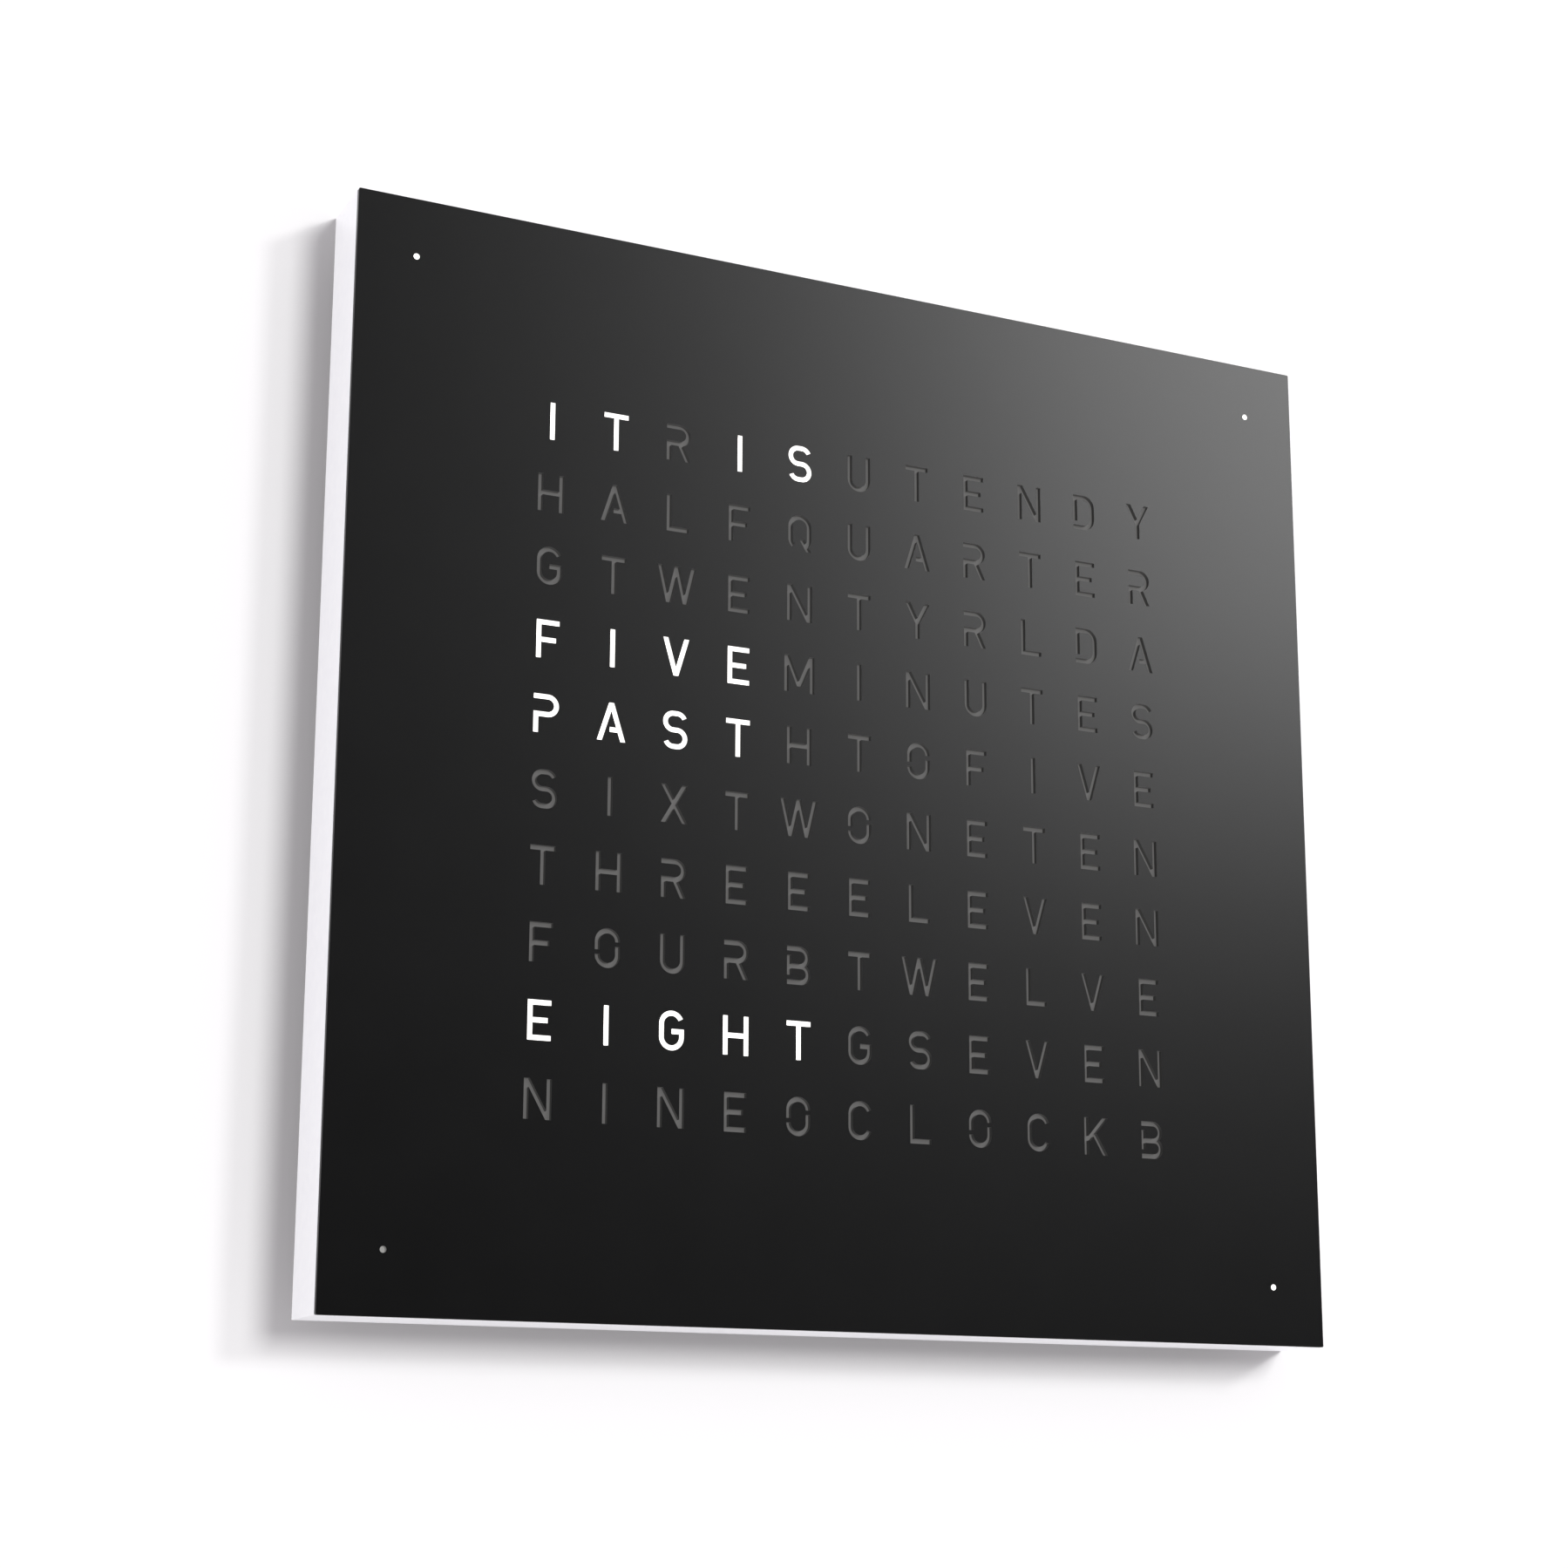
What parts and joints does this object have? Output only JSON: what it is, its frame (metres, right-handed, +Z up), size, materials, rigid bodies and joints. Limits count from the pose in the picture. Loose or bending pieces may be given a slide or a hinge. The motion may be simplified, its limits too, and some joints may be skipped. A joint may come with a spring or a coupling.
{
  "type": "word clock",
  "caption": "Square wall-hung word clock: lit words shine through letters cut in a lift-off steel cover over a shallow lacquered case with side buttons.",
  "frame": {"origin": "centre of the rear face, on the wall plane", "axes": "+Z up as it hangs, +X to the right as seen from the front, +Y into the wall, so the face looks along -Y"},
  "size_m": [0.4508, 0.032, 0.45],
  "materials": {
    "cover_steel": "black powder coat on sheet steel, satin, fine texture",
    "stud_steel": "plain zinc-plated pins",
    "case_lacquer": "fibreboard under smooth white satin lacquer",
    "bracket_zinc": "zinc-plated, faintly spangled",
    "screw_steel": "bright zinc-plated",
    "magnet_nickel": "nickel-plated, polished",
    "smoked_acrylic": "smoked translucent sheet, fine matte face",
    "baffle_plastic": "white moulded, matte",
    "circuit_board": "green solder mask with copper tracks",
    "led_case": "white case with a pale yellow phosphor",
    "chip_black": "black moulded epoxy",
    "header_ivory": "ivory moulded nylon",
    "cable_grey": "grey ribbed sheath",
    "panel_aluminium": "white powder-coated sheet, fine texture",
    "keyhole_steel": "zinc-plated sheet",
    "rivet_aluminium": "bright",
    "well_plastic": "charcoal moulded, light texture",
    "jack_plastic": "black moulded",
    "jack_nickel": "nickel-plated",
    "lead_sheath": "red sheath",
    "standoff_brass": "turned",
    "crystal_can": "drawn steel can",
    "inductor_ferrite": "dark grey ferrite",
    "capacitor_can": "bright can with a dark sleeve",
    "cell_steel": "polished steel",
    "button_metal": "fine-turned, clear anodised"
  },
  "bodies": {
    "case": {"bottom_rail": "case_lacquer", "right_rail": "case_lacquer", "top_rail": "case_lacquer", "left_rail": "case_lacquer", "corner_brackets": "bracket_zinc", "bracket_screws": "screw_steel", "diffuser_screws": "screw_steel", "baffle_screws": "screw_steel", "panel_screws": "screw_steel", "control_screws": "screw_steel", "button_board_screws": "screw_steel", "cover_magnets": "magnet_nickel", "diffuser_sheet": "smoked_acrylic", "light_baffle": "baffle_plastic", "upper_led_board": "circuit_board", "lower_led_board": "circuit_board", "control_board": "circuit_board", "button_board": "circuit_board", "letter_leds": "led_case", "minute_leds": "led_case", "led_drivers": "chip_black", "light_sensor": "chip_black", "microcontroller": "chip_black", "timekeeper_chip": "chip_black", "voltage_regulator": "chip_black", "button_switches": "chip_black", "coin_cell_holder": "chip_black", "board_link_headers": "header_ivory", "power_header": "header_ivory", "ribbon_headers": "header_ivory", "button_cable_sockets": "header_ivory", "board_link_cable": "cable_grey", "ribbon_cable": "cable_grey", "button_cable": "cable_grey", "rear_panel": "panel_aluminium", "keyhole_plates": "keyhole_steel", "keyhole_rivets": "rivet_aluminium", "well_rivets": "rivet_aluminium", "inlet_well": "well_plastic", "dc_jack": "jack_plastic", "jack_pin": "jack_nickel", "jack_leads": "lead_sheath", "control_standoffs": "standoff_brass", "button_spacers": "standoff_brass", "clock_crystal": "crystal_can", "power_inductor": "inductor_ferrite", "smoothing_capacitors": "capacitor_can", "coin_cell": "cell_steel"},
    "cover": {"front_cover": "cover_steel", "cover_studs": "stud_steel"},
    "hour_key": {"hour_button": "button_metal", "hour_plunger": "chip_black"},
    "minute_key": {"minute_button": "button_metal", "minute_plunger": "chip_black"},
    "mode_key": {"mode_button": "button_metal", "mode_plunger": "chip_black"}
  },
  "joints": [
    {"name": "cover_lift", "type": "slide", "parent": "case", "child": "cover", "axis": [0, -1, 0], "range_m": [0, 0.04]},
    {"name": "hour_press", "type": "slide", "parent": "case", "child": "hour_key", "axis": [-1, 0, 0], "range_m": [0, 0.0005], "stiffness_N_per_m": 1500, "springref_m": -0.0003},
    {"name": "minute_press", "type": "slide", "parent": "case", "child": "minute_key", "axis": [-1, 0, 0], "range_m": [0, 0.0005], "stiffness_N_per_m": 1500, "springref_m": -0.0003},
    {"name": "mode_press", "type": "slide", "parent": "case", "child": "mode_key", "axis": [-1, 0, 0], "range_m": [0, 0.0005], "stiffness_N_per_m": 1500, "springref_m": -0.0003}
  ]
}
